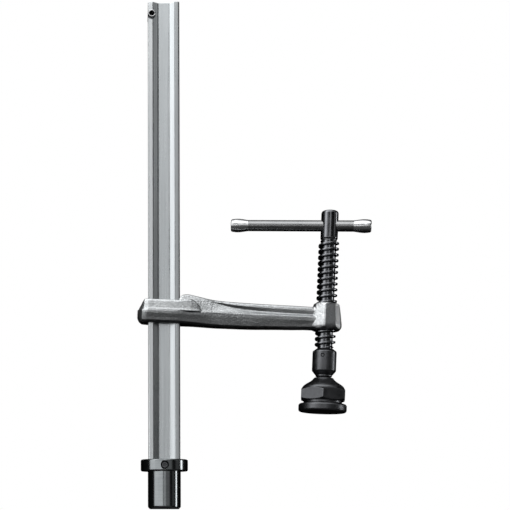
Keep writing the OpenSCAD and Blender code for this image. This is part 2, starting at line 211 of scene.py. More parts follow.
# ---------------------------------------------------------------- materials
class Mat:
    """A small node-graph writer."""

    def __init__(self, name):
        self.m = bpy.data.materials.new(name)
        self.m.use_nodes = True
        self.t = self.m.node_tree
        self.t.nodes.clear()
        self.out = self.n("ShaderNodeOutputMaterial")
        self.b = self.n("ShaderNodeBsdfPrincipled")
        self.link(self.b.outputs[0], self.out.inputs[0])
        self.co = self.n("ShaderNodeTexCoord").outputs["Object"]

    def n(self, kind, **kw):
        node = self.t.nodes.new(kind)
        for k, v in kw.items():
            setattr(node, k, v)
        return node

    def link(self, a, b):
        self.t.links.new(a, b)

    def put(self, socket, v):
        if isinstance(v, bpy.types.NodeSocket):
            self.link(v, socket)
        else:
            socket.default_value = v

    def mapped(self, scale=(1, 1, 1), rot=(0, 0, 0)):
        m = self.n("ShaderNodeMapping")
        m.inputs["Scale"].default_value = scale
        m.inputs["Rotation"].default_value = rot
        self.link(self.co, m.inputs["Vector"])
        return m.outputs[0]

    def noise(self, scale, detail=4, rough=0.55, vec=None, dist=0.0):
        n = self.n("ShaderNodeTexNoise")
        n.inputs["Scale"].default_value = scale
        n.inputs["Detail"].default_value = detail
        n.inputs["Roughness"].default_value = rough
        n.inputs["Distortion"].default_value = dist
        self.link(vec if vec is not None else self.co, n.inputs["Vector"])
        return n.outputs[0]

    def voronoi(self, scale, vec=None):
        n = self.n("ShaderNodeTexVoronoi")
        n.inputs["Scale"].default_value = scale
        self.link(vec if vec is not None else self.co, n.inputs["Vector"])
        return n.outputs["Distance"]

    def ramp(self, v, *stops):
        r = self.n("ShaderNodeValToRGB")
        e = r.color_ramp.elements
        while len(e) > 1:
            e.remove(e[-1])
        e[0].position, e[0].color = stops[0][0], grey(stops[0][1])
        for p, c in stops[1:]:
            k = e.new(p)
            k.color = grey(c)
        self.link(v, r.inputs[0])
        return r.outputs[0]

    def math(self, op, a, b=0.5):
        n = self.n("ShaderNodeMath", operation=op)
        self.put(n.inputs[0], a)
        self.put(n.inputs[1], b)
        return n.outputs[0]

    def rng(self, v, lo, hi):
        n = self.n("ShaderNodeMapRange")
        self.link(v, n.inputs[0])
        n.inputs[1].default_value, n.inputs[2].default_value = 0.25, 0.75
        n.inputs[3].default_value, n.inputs[4].default_value = lo, hi
        return n.outputs[0]

    def mix(self, f, a, b, mode="MIX"):
        n = self.n("ShaderNodeMix", data_type="RGBA", blend_type=mode)
        self.put(n.inputs[0], f)
        self.put(n.inputs[6], grey(a) if not isinstance(a, bpy.types.NodeSocket) else a)
        self.put(n.inputs[7], grey(b) if not isinstance(b, bpy.types.NodeSocket) else b)
        return n.outputs[2]

    def edge(self, radius=0.5, lo=0.02, hi=0.25):
        """0 on faces, 1 at convex or concave edges."""
        bv = self.n("ShaderNodeBevel", samples=6)
        bv.inputs[0].default_value = radius * MM
        g = self.n("ShaderNodeNewGeometry")
        d = self.n("ShaderNodeVectorMath", operation="DOT_PRODUCT")
        self.link(bv.outputs[0], d.inputs[0])
        self.link(g.outputs["Normal"], d.inputs[1])
        one = self.math("SUBTRACT", 1.0, d.outputs["Value"])
        n = self.n("ShaderNodeMapRange")
        self.link(one, n.inputs[0])
        n.inputs[1].default_value, n.inputs[2].default_value = lo, hi
        return n.outputs[0]

    def bump(self, *layers):
        prev = None
        for height, strength, dist in layers:
            b = self.n("ShaderNodeBump")
            b.inputs["Strength"].default_value = strength
            b.inputs["Distance"].default_value = dist * MM
            self.link(height, b.inputs["Height"])
            if prev is not None:
                self.link(prev, b.inputs["Normal"])
            prev = b.outputs[0]
        self.link(prev, self.b.inputs["Normal"])

    def set(self, color, rough, metal=1.0, aniso=0.0, spec=None):
        self.put(self.b.inputs["Base Color"], grey(color) if not isinstance(color, bpy.types.NodeSocket) else color)
        self.put(self.b.inputs["Roughness"], rough)
        self.b.inputs["Metallic"].default_value = metal
        if aniso:
            self.b.inputs["Anisotropic"].default_value = aniso
        if spec is not None:
            self.b.inputs["Specular IOR Level"].default_value = spec
        return self.m


def grey(c):
    if isinstance(c, (int, float)):
        return (c, c, c, 1)
    return tuple(c) if len(c) == 4 else (*c, 1)


def mat_rail():
    k = Mat("ground_steel")
    long_ = k.mapped((900, 900, 14))
    grain = k.noise(1.0, 5, 0.6, long_)
    cloud = k.noise(38, 5, 0.6)
    scr = k.noise(1.0, 3, 0.7, k.mapped((2600, 2600, 5)))
    edge = k.edge(0.5)
    col = k.mix(k.rng(cloud, 0, 1), (0.47, 0.50, 0.515), (0.57, 0.60, 0.615))
    col = k.mix(k.rng(grain, 0, 0.35), col, (0.41, 0.432, 0.447))
    pos = k.n("ShaderNodeSeparateXYZ")
    k.link(k.co, pos.inputs[0])
    # painted shade: the right flange and right edge of the rail are painted darker by position (side)
    side = k.n("ShaderNodeMapRange", interpolation_type="SMOOTHSTEP")
    k.link(pos.outputs[0], side.inputs[0])
    side.inputs[1].default_value, side.inputs[2].default_value = 9.0 * MM, 14.2 * MM
    # painted highlight: the left flange of the rail is painted lighter by position
    left_flange_highlight = k.n("ShaderNodeMapRange", interpolation_type="SMOOTHSTEP")
    k.link(pos.outputs[0], left_flange_highlight.inputs[0])
    left_flange_highlight.inputs[1].default_value, left_flange_highlight.inputs[2].default_value = -8.6 * MM, -9.6 * MM
    # painted shade: the rail is painted a little darker from just past the groove's right edge (ramp)
    ramp = k.n("ShaderNodeMapRange", interpolation_type="SMOOTHSTEP")
    k.link(pos.outputs[0], ramp.inputs[0])
    ramp.inputs[1].default_value, ramp.inputs[2].default_value = 4.7 * MM, 5.3 * MM
    col = k.mix(k.math("MULTIPLY", ramp.outputs[0], 0.35), col, (0.30, 0.315, 0.325))
    col = k.mix(k.math("MULTIPLY", side.outputs[0], 0.75), col, (0.26, 0.27, 0.275))
    col = k.mix(k.math("MULTIPLY", left_flange_highlight.outputs[0], 0.45), col, (0.74, 0.76, 0.77))
    col = k.mix(k.math("MULTIPLY", edge, 0.35), col, (0.60, 0.62, 0.63))
    rough = k.math("ADD", k.rng(grain, 0.24, 0.34), k.rng(cloud, -0.03, 0.05))
    k.bump((scr, 0.10, 0.04), (grain, 0.12, 0.06))
    return k.set(col, rough)


def mat_forged():
    k = Mat("galvanised_forging")
    fine = k.noise(2600, 4, 0.6)
    mid = k.noise(640, 5, 0.65)
    big = k.noise(75, 4, 0.55)
    edge = k.edge(0.7)
    col = k.mix(k.rng(big, 0, 1), (0.44, 0.458, 0.468), (0.60, 0.618, 0.628))
    pos = k.n("ShaderNodeSeparateXYZ")
    k.link(k.co, pos.inputs[0])
    eye = k.n("ShaderNodeMapRange", interpolation_type="SMOOTHSTEP")
    k.link(pos.outputs[0], eye.inputs[0])
    eye.inputs[1].default_value, eye.inputs[2].default_value = 0.119, 0.126
    # painted highlight: the eye region of the arm is painted lighter by position
    col = k.mix(k.math("MULTIPLY", eye.outputs[0], 0.4), col, (0.78, 0.795, 0.805))
    # painted shade in noise streaks on faces that point downwards; on the eye, painted shade on a middle band of faces
    # and along the far edge, and a painted highlight strip, all set by facing and position
    way = k.n("ShaderNodeSeparateXYZ")
    k.link(k.n("ShaderNodeNewGeometry").outputs["Normal"], way.inputs[0])

    def soft(v, e0, e1):
        r = k.n("ShaderNodeMapRange", interpolation_type="SMOOTHSTEP")
        k.link(v, r.inputs[0])
        r.inputs[1].default_value, r.inputs[2].default_value = e0, e1
        return r.outputs[0]

    col = k.mix(k.math("MULTIPLY", soft(mid, 0.36, 0.66), 0.42), col, (0.30, 0.315, 0.322))
    col = k.mix(k.math("MULTIPLY", edge, 0.8), col, (0.76, 0.78, 0.79))
    streak = k.noise(150, 5, 0.7, vec=k.mapped((0.5, 1, 5)))
    # painted shade: faces that point downwards are darkened, broken into noise streaks
    underside_shade = k.math("MULTIPLY", soft(way.outputs[2], -0.30, -0.72), soft(streak, 0.22, 0.52))
    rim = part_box("sliding_arm")[1][0]
    # painted shade: a black band along the far edge of the eye, set by position
    eye_edge_shade = soft(pos.outputs[0], rim - 0.0030, rim - 0.0012)
    # painted highlight: a light strip on the eye's sideways-facing faces near its far edge
    eye_rim_highlight = k.math("MULTIPLY", k.math("MULTIPLY", soft(way.outputs[0], 0.62, 0.80), soft(pos.outputs[0], rim - 0.0100, rim - 0.0085)), 0.7)
    # painted shade: the eye's faces turned partly sideways are darkened
    eye_face_shade = k.math("MULTIPLY", soft(way.outputs[0], -0.06, 0.08), soft(way.outputs[0], 0.58, 0.44))
    eye_face_shade = k.math("MULTIPLY", k.math("MULTIPLY", eye_face_shade, eye.outputs[0]), 0.8)
    col = k.mix(k.math("MULTIPLY", underside_shade, 0.86), col, (0.050, 0.053, 0.056))
    col = k.mix(eye_face_shade, col, (0.12, 0.125, 0.13))
    col = k.mix(eye_rim_highlight, col, (0.96, 0.97, 0.98))
    col = k.mix(k.math("MULTIPLY", eye_edge_shade, 0.9), col, (0.03, 0.031, 0.033))
    rough = k.math("ADD", k.rng(mid, 0.28, 0.42), k.rng(big, -0.05, 0.05))
    k.bump((big, 0.12, 0.6), (mid, 0.9, 0.42), (fine, 0.35, 0.09))
    return k.set(col, rough)


def mat_black(name="black_oxide", base=0.085, wear=0.34, r0=0.26, r1=0.44, gr=900):
    k = Mat(name)
    fine = k.noise(gr * 2.6, 3, 0.6)
    mid = k.noise(gr * 0.33, 5, 0.65)
    big = k.noise(60, 4, 0.6)
    edge = k.edge(0.35)
    broken = k.math("MULTIPLY", edge, k.rng(mid, 0.35, 1.0))
    col = k.mix(k.rng(big, 0, 1), (base * 0.8, base * 0.83, base * 0.88), (base * 1.5, base * 1.55, base * 1.65))
    col = k.mix(k.math("MULTIPLY", k.rng(mid, 0, 0.4), 0.35), col, (base * 2.4, base * 2.4, base * 2.5))
    col = k.mix(broken, col, (wear, wear * 1.01, wear * 1.02))
    rough = k.math("ADD", k.rng(mid, r0, r1), k.rng(big, -0.04, 0.05))
    k.bump((mid, 0.09, 0.07), (fine, 0.08, 0.02))
    return k.set(col, rough)


def mat_dark_polish():
    k = Mat("dark_polished_steel")
    turn = k.noise(1.0, 4, 0.6, k.mapped((40, 40, 2600)))
    big = k.noise(70, 4, 0.6)
    edge = k.edge(0.4)
    col = k.mix(k.rng(big, 0, 1), (0.16, 0.172, 0.18), (0.23, 0.245, 0.25))
    col = k.mix(k.rng(turn, 0, 0.25), col, (0.12, 0.125, 0.13))
    col = k.mix(edge, col, (0.55, 0.56, 0.57))
    rough = k.math("ADD", k.rng(turn, 0.11, 0.19), k.rng(big, -0.02, 0.03))
    k.bump((turn, 0.08, 0.03), (big, 0.05, 0.3))
    return k.set(col, rough)


def mat_bright():
    k = Mat("bright_steel")
    turn = k.noise(600, 4, 0.6)
    big = k.noise(90, 4, 0.6)
    edge = k.edge(0.4)
    col = k.mix(k.rng(big, 0, 1), (0.60, 0.61, 0.62), (0.74, 0.75, 0.76))
    col = k.mix(edge, col, (0.82, 0.83, 0.84))
    rough = k.math("ADD", k.rng(turn, 0.20, 0.30), k.rng(big, -0.02, 0.04))
    k.bump((turn, 0.08, 0.05), (big, 0.08, 0.3))
    return k.set(col, rough)


def mat_bar():
    k = Mat("dark_drawn_steel")
    a = k.noise(500, 5, 0.6)
    big = k.noise(50, 5, 0.6)
    edge = k.edge(0.4)
    col = k.mix(k.rng(big, 0, 1), (0.25, 0.256, 0.26), (0.35, 0.356, 0.36))
    col = k.mix(k.rng(a, 0, 0.22), col, (0.20, 0.202, 0.205))
    col = k.mix(edge, col, (0.5, 0.5, 0.5))
    rough = k.math("ADD", k.rng(a, 0.22, 0.34), k.rng(big, -0.03, 0.05))
    k.bump((a, 0.05, 0.03), (big, 0.08, 0.3))
    return k.set(col, rough)


RAIL, FORGED, BLACK = mat_rail(), mat_forged(), mat_black()
THREAD = mat_black("burnished_black_steel", 0.13, 0.30, 0.14, 0.24, 700)
POLISH, BRIGHT, BAR = mat_dark_polish(), mat_bright(), mat_bar()

# ---------------------------------------------------------------- rail and foot
RAIL_LO, RAIL_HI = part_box("rail")
RZ0, RZ1 = 10.0, RAIL_HI.z / MM
RW, RT = RAIL_HI.x / MM, RAIL_HI.y / MM


def offset_loop(pts, d):
    """Moves a closed outline inwards by d (counter-clockwise points)."""
    out = []
    n = len(pts)
    for i in range(n):
        a, b, c = Vector(pts[i - 1]), Vector(pts[i]), Vector(pts[(i + 1) % n])
        t1, t2 = (b - a), (c - b)
        t = (t1.normalized() if t1.length > 1e-9 else t2.normalized()) + (t2.normalized() if t2.length > 1e-9 else t1.normalized())
        nrm = Vector((-t.y, t.x))
        nrm = nrm.normalized() if nrm.length > 1e-9 else Vector((0, 0))
        out.append(tuple(b + nrm * d))
    return out


def extrude_loops(loops):
    """loops: list of (list of (x, y), z) with equal counts; caps both ends."""
    verts, faces = [], []
    n = len(loops[0][0])
    for pts, z in loops:
        verts += [(x, y, z) for x, y in pts]
    for k in range(len(loops) - 1):
        for i in range(n):
            j = (i + 1) % n
            faces.append((k * n + i, k * n + j, (k + 1) * n + j, (k + 1) * n + i))
    faces.append(tuple(range(n - 1, -1, -1)))
    faces.append(tuple((len(loops) - 1) * n + i for i in range(n)))
    return verts, faces


def rail_outline():
    e, f, g = 4.3, 4.9, 2.6
    half = [(RW, 0), (RW, RT), (RW - e, RT), (f, RT - g), (-f, RT - g), (-RW + e, RT), (-RW, RT), (-RW, 0)]
    rad = [0, 1.2, 0.7, 1.0, 1.0, 0.7, 1.2, 0]
    pts = half + [(-x, -y) for x, y in half[1:-1]]
    rads = rad + rad[1:-1]
    return round_profile(pts, rads, 5, closed=True)


def build_rail():
    o = rail_outline()
    v, f = extrude_loops([(offset_loop(o, 0.5), RZ0), (o, RZ0 + 0.5)] +
                         [(o, RZ0 + 0.5 + (RZ1 - RZ0 - 1.2) * k / 8) for k in range(1, 9)] +
                         [(offset_loop(o, 0.2), RZ1 - 0.25), (offset_loop(o, 0.65), RZ1)])
    ob = make("rail_bar", v, f, None, 30, RAIL)
    lo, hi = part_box("stop_pin")
    cx, cz, r = (lo.x + hi.x) / 2 / MM, (lo.z + hi.z) / 2 / MM, (hi.z - lo.z) / 2 / MM
    turn = Matrix.Translation(Vector((cx, 0, cz)) * MM) @ Matrix.Rotation(math.radians(90), 4, "X")
    v, f = lathe([(0, -20), (r + 1.0, -20), (r + 1.0, -RT - 0.2), (r + 0.02, -RT + 0.75), (r + 0.02, RT - 0.75),
                  (r + 1.0, RT + 0.2), (r + 1.0, 20), (0, 20)], 72)
    boolean(ob, tool("c", v, f, turn))
    finish_mesh(ob, 30)
    # turned tenon in the foot
    zt = RAIL_LO.z / MM
    v, f = lathe(round_profile([(0, zt), (5, zt), (6, zt + 1), (6, RZ0 + 0.3), (0, RZ0 + 0.3)], 0.2), 96)
    ten = make("rail_tenon", v, f, None, 35, RAIL)
    v, f = extrude_loops([([(-8, -11), (8, -11), (8, -5.4), (-8, -5.4)], 1.5), ([(-8, -11), (8, -11), (8, -5.4), (-8, -5.4)], 8.5)])
    boolean(ten, tool("c", v, f))
    boolean(ob, ten, "UNION")
    finish_mesh(ob, 30)
    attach(ob, "rail_and_foot")
    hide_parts("rail")


def build_foot():
    r = 13.95
    f = 20.0
    prof = [(0, -32), (r - 1.7, -32), (r - 0.2, -30.5), (r, -29.5), (r, 0), (f - 0.9, 0), (f, 0.8), (f, 9.2), (f - 0.8, 10),
            (7.2, 10), (6.05, 9.0), (6.05, -12), (0, -12)]
    rad = [0, 0.6, 0.8, 0.5, 0.15, 0.4, 0.4, 0.5, 0.5, 0.3, 0.2, 0.2, 0]
    v, fa = lathe(round_profile(prof, rad, 5), 192)
    ob = make("table_adapter_body", v, fa, None, 35, POLISH)
    turn = Matrix.Translation(Vector((0, 0, 5)) * MM) @ Matrix.Rotation(math.radians(90), 4, "X")
    v, fa = lathe([(0, 2), (3.0, 2), (3.0, f - 0.85), (3.7, f - 0.05), (3.7, f + 3), (0, f + 3)], 64)
    boolean(ob, tool("c", v, fa, turn))
    bevel(ob, 0.16, 2, 40)
    apply_all(ob)
    seal(ob)
    finish_mesh(ob, 35)
    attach(ob, "rail_and_foot")
    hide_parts("table_adapter")
    # hexagon-socket lock screw
    turn = Matrix.Translation(Vector((0, -5.45, 5)) * MM) @ Matrix.Rotation(math.radians(90), 4, "X")
    prof = round_profile([(0, 0), (1.6, 0), (2.95, 1.2), (2.95, 11.2), (2.5, 11.7), (0, 11.7)], 0.15)
    v, fa = lathe(prof, 96)
    ob = make("lock_screw", v, fa, turn, 35, BLACK)
    hexa = [(1.75 * math.cos(math.radians(60 * i)), 1.75 * math.sin(math.radians(60 * i))) for i in range(6)]
    v, fa = extrude_loops([(hexa, 8.3), (hexa, 14)])
    boolean(ob, tool("c", v, fa, turn))
    bevel(ob, 0.12, 2, 40)
    apply_all(ob)
    finish_mesh(ob, 35)
    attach(ob, "rail_and_foot")
    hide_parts("adapter_lock_screw")


def build_stop_pin():
    lo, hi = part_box("stop_pin")
    h = hi.y / MM
    c = Vector(((lo.x + hi.x) / 2, 0, (lo.z + hi.z) / 2))
    turn = Matrix.Translation(c) @ Matrix.Rotation(math.radians(90), 4, "X")
    prof = round_profile([(2.3, -h), (2.9, -h), (3.5, -h + 1), (3.5, h - 1), (2.9, h), (2.3, h)], 0.25, 4, closed=True)
    v, f = lathe(prof + [prof[0]], 128)
    ob = make("stop_pin_roll", v, f, turn, 35, BRIGHT)
    q = [(c.x / MM + 1.0, c.z / MM - 0.45), (c.x / MM + 5, c.z / MM - 0.45), (c.x / MM + 5, c.z / MM + 0.45), (c.x / MM + 1.0, c.z / MM + 0.45)]
    v = [(x, y, z) for y in (-h - 2, h + 2) for x, z in q]
    f = [(0, 1, 2, 3), (7, 6, 5, 4), (0, 4, 5, 1), (1, 5, 6, 2), (2, 6, 7, 3), (3, 7, 4, 0)]
    boolean(ob, tool("c", v, f))
    bevel(ob, 0.12, 2, 40)
    apply_all(ob)
    finish_mesh(ob, 35)
    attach(ob, "rail_and_foot")
    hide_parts("stop_pin")


# ---------------------------------------------------------------- arm
def lerp_table(rows, x):
    if x <= rows[0][0]:
        return rows[0][1:]
    for a, b in zip(rows, rows[1:]):
        if x <= b[0]:
            t = (x - a[0]) / (b[0] - a[0])
            t = t * t * (3 - 2 * t) * 0.5 + t * 0.5
            return [p + (q - p) * t for p, q in zip(a[1:], b[1:])]
    return rows[-1][1:]


def loft_x(stations):
    """stations: (x, [(y, z), ...]) with equal counts; capped."""
    verts, faces = [], []
    n = len(stations[0][1])
    for x, pts in stations:
        verts += [(x, y, z) for y, z in pts]
    for k in range(len(stations) - 1):
        for i in range(n):
            j = (i + 1) % n
            faces.append((k * n + i, (k + 1) * n + i, (k + 1) * n + j, k * n + j))
    faces.append(tuple(range(n)))
    faces.append(tuple((len(stations) - 1) * n + i for i in range(n - 1, -1, -1)))
    return verts, faces


def mirrored(half):
    """half: (y, z) from the top centre round +Y to the bottom centre."""
    return half + [(-y, z) for y, z in reversed(half[1:-1])]


def build_arm():
    # lower half: x, half width at the parting line, half width at the bottom, bottom height
    low = [(-22.6, 3.4, 2.6, -7.0), (-21.9, 4.9, 3.8, -8.8), (-20.5, 7.9, 6.0, -10.2), (-18.9, 11.3, 9.2, -10.6), (-18.3, 11.6, 9.6, -10.7), (-14.4, 13.4, 10.9, -10.7),
           (11, 13.3, 10.9, -10.7), (24, 11.5, 8.9, -11.0), (44, 9.0, 6.6, -11.9), (70, 8.2, 5.8, -11.9),
           (104, 7.8, 5.4, -10.8), (120, 7.8, 5.4, -10.1), (133, 8.4, 6.2, -9.9)]
    st = []
    for i in range(0, 118):
        x = -22.6 + (133 + 22.6) * i / 117
        yp, yb, zb = lerp_table(low, x)
        st.append((x, mirrored([(0, 0.0), (yp - 1.3, 0.0), (yp - 0.3, -0.6), (yp, -1.35), (yp - 0.35, -3.4),
                                (yb + 0.75, zb + 4.0), (yb, zb + 1.7), (yb - 1.8, zb), (0, zb)])))
    parts = [loft_x(st)]
    # upper ring body, ending in a pointed boss
    top = [(-21.4, 4.4, 1.2), (-20.0, 6.6, 3.6), (-18.4, 9.2, 6.6), (-17.2, 10.7, 8.5), (-16.6, 11.1, 8.8), (-13.8, 12.4, 8.8), (9, 12.5, 8.9), (12, 12.5, 8.9), (15, 12.45, 9.5),
           (18.6, 12.3, 10.2), (22, 12.1, 9.9), (25, 11.7, 8.5), (27.4, 11.3, 6.6), (29.2, 10.9, 4.6), (30.4, 10.3, 2.8), (31.4, 9.4, 1.4)]
    st = []
    for i in range(0, 80):
        x = -21.4 + (31.4 + 21.4) * i / 79
        yw, zt = lerp_table(top, x)
        q = max(0.12, min(1.0, (zt - 0.4) / 8.0))
        st.append((x, mirrored([(0, zt), (yw - 1.5 - 0.5 * q, zt), (yw - 0.9 - 0.4 * q, zt - 0.5 * q), (yw - 0.35 - 0.5 * q, zt - 1.8 * q), (yw - 0.1, 0.5 + 1.2 * q),
                                (yw + 0.05, 0.8), (yw + 0.75, 0.2), (yw + 0.75, -0.6), (yw - 0.2, -1.2), (yw - 1.5, -1.7), (0, -1.7)])))
    parts.append(loft_x(st))
    # upper web with its flange: x, top height, flange half width, valley height, valley half width, foot half width
    web = [(11.0, 8.2, 8.6, 5.0, 10.0, 11.8), (12.0, 10.2, 8.5, 6.0, 9.9, 11.8), (13.6, 12.9, 8.3, 7.0, 9.8, 11.6), (15.6, 14.3, 8.1, 7.6, 9.6, 11.5),
           (19, 14.7, 7.9, 8.0, 9.3, 11.3), (22, 14.5, 7.8, 8.2, 9.0, 11.1), (27, 13.6, 7.5, 8.4, 8.5, 10.5), (32, 12.6, 7.2, 8.8, 7.7, 9.8),
           (38, 11.5, 6.9, 8.8, 7.0, 9.2), (43, 10.8, 6.8, 8.0, 6.3, 8.9), (48, 10.4, 6.8, 7.0, 5.7, 8.6), (54, 10.1, 6.7, 5.7, 5.4, 8.3),
           (61, 9.9, 6.6, 4.6, 5.2, 8.0), (70, 9.7, 6.5, 3.7, 5.1, 7.8), (82, 9.5, 6.3, 3.0, 5.1, 7.6), (103, 9.3, 6.1, 2.5, 5.1, 7.4), (133, 8.9, 6.1, 2.2, 5.2, 7.6)]
    st = []
    for i in range(0, 121):
        x = 11.0 + (133 - 11.0) * i / 120
        zt, yf, zv, yv, yb = lerp_table(web, x)
        st.append((x, mirrored([(0, zt), (yf - 2.1, zt - 0.05), (yf - 0.9, zt - 0.55), (yf - 0.35, zt - 1.7), (yf, zt * 0.45 + zv * 0.55),
                                (yv + 0.25, zv + 0.5), (yv, zv), (yv + 0.35, zv - 0.6), (yb - 0.3, 0.55), (yb + 0.45, -0.1), (yb + 0.5, -0.95), (yb - 0.4, -1.6), (yb - 0.4, -2.5), (0, -2.5)])))
    parts.append(loft_x(st))
    # eye: drafted boss with eight soft flats
    lv = [(-10.4, 11.0), (-9.7, 11.9), (-8.4, 13.1), (-7.1, 13.45), (-5.0, 13.4), (0, 12.75), (6, 11.95), (10.6, 11.3), (11.8, 10.9), (12.5, 10.1)]
    n = 96
    verts, faces = [(REACH, 0, lv[0][1] * 0 + lv[0][0])], []
    for z, r in lv:
        for i in range(n):
            a = 2 * math.pi * i / n
            loc = (a + math.radians(15.5)) % (math.pi / 4) - math.pi / 8
            flat = min(1.0, 0.945 / math.cos(loc)) if -9.0 < z < 11.5 else 1.0
            verts.append((REACH + r * flat * math.cos(a), r * flat * math.sin(a), z))
    verts.append((REACH, 0, lv[-1][0]))
    for i in range(n):
        j = (i + 1) % n
        faces.append((0, 1 + j, 1 + i))
        for k in range(len(lv) - 1):
            faces.append((1 + k * n + i, 1 + k * n + j, 1 + (k + 1) * n + j, 1 + (k + 1) * n + i))
        faces.append((1 + (len(lv) - 1) * n + i, 1 + (len(lv) - 1) * n + j, len(verts) - 1))
    parts.append((verts, faces))

    av, af = [], []
    for v, f in parts:
        k = len(av)
        av += v
        af += [tuple(i + k for i in q) for q in f]
    ob = make("arm_forging", av, af, None, 40, FORGED)
    m = ob.modifiers.new("r", "REMESH")
    m.mode = "VOXEL"
    m.voxel_size = 0.34 * MM
    apply_all(ob)
    m = ob.modifiers.new("s", "SMOOTH")
    m.factor, m.iterations = 0.5, 5
    apply_all(ob)
    # hammer-scale unevenness of the forged skin
    me = ob.data
    normals = [v.normal.copy() for v in me.vertices]
    for v, nrm in zip(me.vertices, normals):
        p = v.co / MM
        d = 0.05 * noise.noise(p * 0.16) + 0.035 * noise.noise(p * 0.7)
        v.co += nrm * d * MM
    # machined slot and screw hole
    w, t = 14.21, 6.85
    o = round_profile([(w, -t), (w, t), (-w, t), (-w, -t)], 0.5, 4, closed=True)
    boolean(ob, tool("c", *extrude_loops([(o, -30), (o, 30)])), solver="MANIFOLD")
    rb = 8.9
    v, f = lathe([(0, -30), (rb + 1.0 + 19, -30), (rb + 0.9, -10.4 - 0.1), (rb, -9.7), (rb, 11.8), (rb + 0.8, 12.6), (rb + 12, 24), (0, 24)], 128)
    boolean(ob, tool("c", v, f, Matrix.Translation((REACH * MM, 0, 0))), solver="MANIFOLD")
    ob.data.transform(ARM)
    ob.data.materials.clear()
    ob.data.materials.append(FORGED)
    finish_mesh(ob, 38)
    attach(ob, "arm")
    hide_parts("sliding_arm")


# ---------------------------------------------------------------- screw, swivel, pad
BAZ = math.atan2(BARDIR.dot(YAX), BARDIR.dot(XA))
TURNED = SCREW @ Matrix.Rotation(BAZ, 4, "Z")


def build_swivel():
    r, st, sb, je, pw = 10.1, -25.95, -48.3, -37.6, -32.4
    prof = [(5.05, st), (6.9, st), (r - 0.35, st - 2.1), (r, st - 2.8), (r, sb + 3.5), (r - 0.4, sb + 2.9), (7.3, sb), (4.5, sb),
            (4.5, je - 2.2), (5.05, je - 2.2)]
    prof = round_profile(prof, [0.1, 0.5, 0.7, 0.7, 0.4, 0.4, 0.3, 0.1, 0.1, 0.1], 4, closed=True)
    v, f = lathe(prof + [prof[0]], 160)
    ob = make("swivel_sleeve_body", v, f, SCREW, 32, BLACK)
    turn = SCREW @ Matrix.Rotation(math.radians(-108.6), 4, "Z") @ Matrix.Translation((0, 0, pw * MM)) @ Matrix.Rotation(math.radians(90), 4, "Y")
    v, f = lathe([(0, 0), (1.3, 0), (1.3, 9.55), (1.75, 10.05), (1.75, 14), (0, 14)], 48)
    boolean(ob, tool("c", v, f, turn))
    finish_mesh(ob, 32)
    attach(ob, "swivel"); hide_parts("swivel_sleeve")
    v, f = lathe(round_profile([(0, 4.15), (0.9, 4.15), (1.25, 4.65), (1.25, 9.15), (0.9, 9.5), (0, 9.5)], 0.15), 48)
    ob = make("swivel_pin", v, f, turn, 35, BLACK, "swivel", ["swivel_retaining_pin"])
    v, f = lathe(round_profile([(0, je - 2.15), (4.95, je - 2.15), (4.95, je - 0.05), (0, je - 0.05)], 0.2), 96)
    make("thrust_washer", v, f, SCREW, 35, BRIGHT, "swivel", ["thrust_disc"])
    R, bc = 8.0, -58.5
    prof = round_profile([(0, je - 2.2), (4.0, je - 2.2), (4.5, je - 2.7), (4.5, sb), (6.9, sb), (6.9, sb - 1.3), (4.5, sb - 2.7),
                          (4.4, sb - 3.0), (4.45, bc + 6.9)], [0, .1, .1, .1, .2, .25, .2, .1, 0], 4)
    prof += [(R * math.cos(math.radians(a)), bc + R * math.sin(math.radians(a))) for a in range(54, -88, -3)] + [(0, bc - R)]
    v, f = lathe(prof, 128)
    make("ball_stud_body", v, f, SCREW, 32, BLACK, "swivel", ["ball_stud"])


def thread_mesh(r0, r1, p, z0, z1, n=96):
    """A closed rod with a right-hand thread, its ends faded and flat."""
    prof = [(0.0, 0), (0.02, 0.04), (0.045, 0.14), (0.135, 0.84), (0.165, 0.96), (0.205, 1.0), (0.32, 1.0), (0.435, 1.0),
            (0.475, 0.96), (0.505, 0.84), (0.595, 0.14), (0.62, 0.04), (0.64, 0), (0.82, 0)]
    J = len(prof)
    K = int(math.ceil((z1 - z0) / p + 1)) * J
    verts = [(r0 * math.cos(2 * math.pi * i / n), r0 * math.sin(2 * math.pi * i / n), z0) for i in range(n)]
    verts += [(x, y, z1) for x, y, _ in verts[:n]]
    ids = {}

    def zraw(i, k):
        return z0 - p + p * (k // J + prof[k % J][0] + i / n)

    def vid(i, k):
        if i == n:
            return vid(0, min(k + J, K))
        z = zraw(i, k)
        if z <= z0 + 0.02:
            return i
        if z >= z1 - 0.02:
            return n + i
        if (i, k) not in ids:
            fade = max(0, min(1, (z - z0) / 2.5, (z1 - z) / 2.5))
            r = r0 + (r1 - r0) * prof[k % J][1] * fade
            a = 2 * math.pi * i / n
            ids[(i, k)] = len(verts)
            verts.append((r * math.cos(a), r * math.sin(a), z))
        return ids[(i, k)]

    faces = []
    for i in range(n):
        for k in range(K):
            q = [vid(i, k), vid(i + 1, k), vid(i + 1, k + 1), vid(i, k + 1)]
            u = []
            for w in q:
                if w not in u:
                    u.append(w)
            if len(u) >= 3:
                faces.append(tuple(u))
    faces.append(tuple(range(n - 1, -1, -1)))
    faces.append(tuple(n + i for i in range(n)))
    return verts, faces


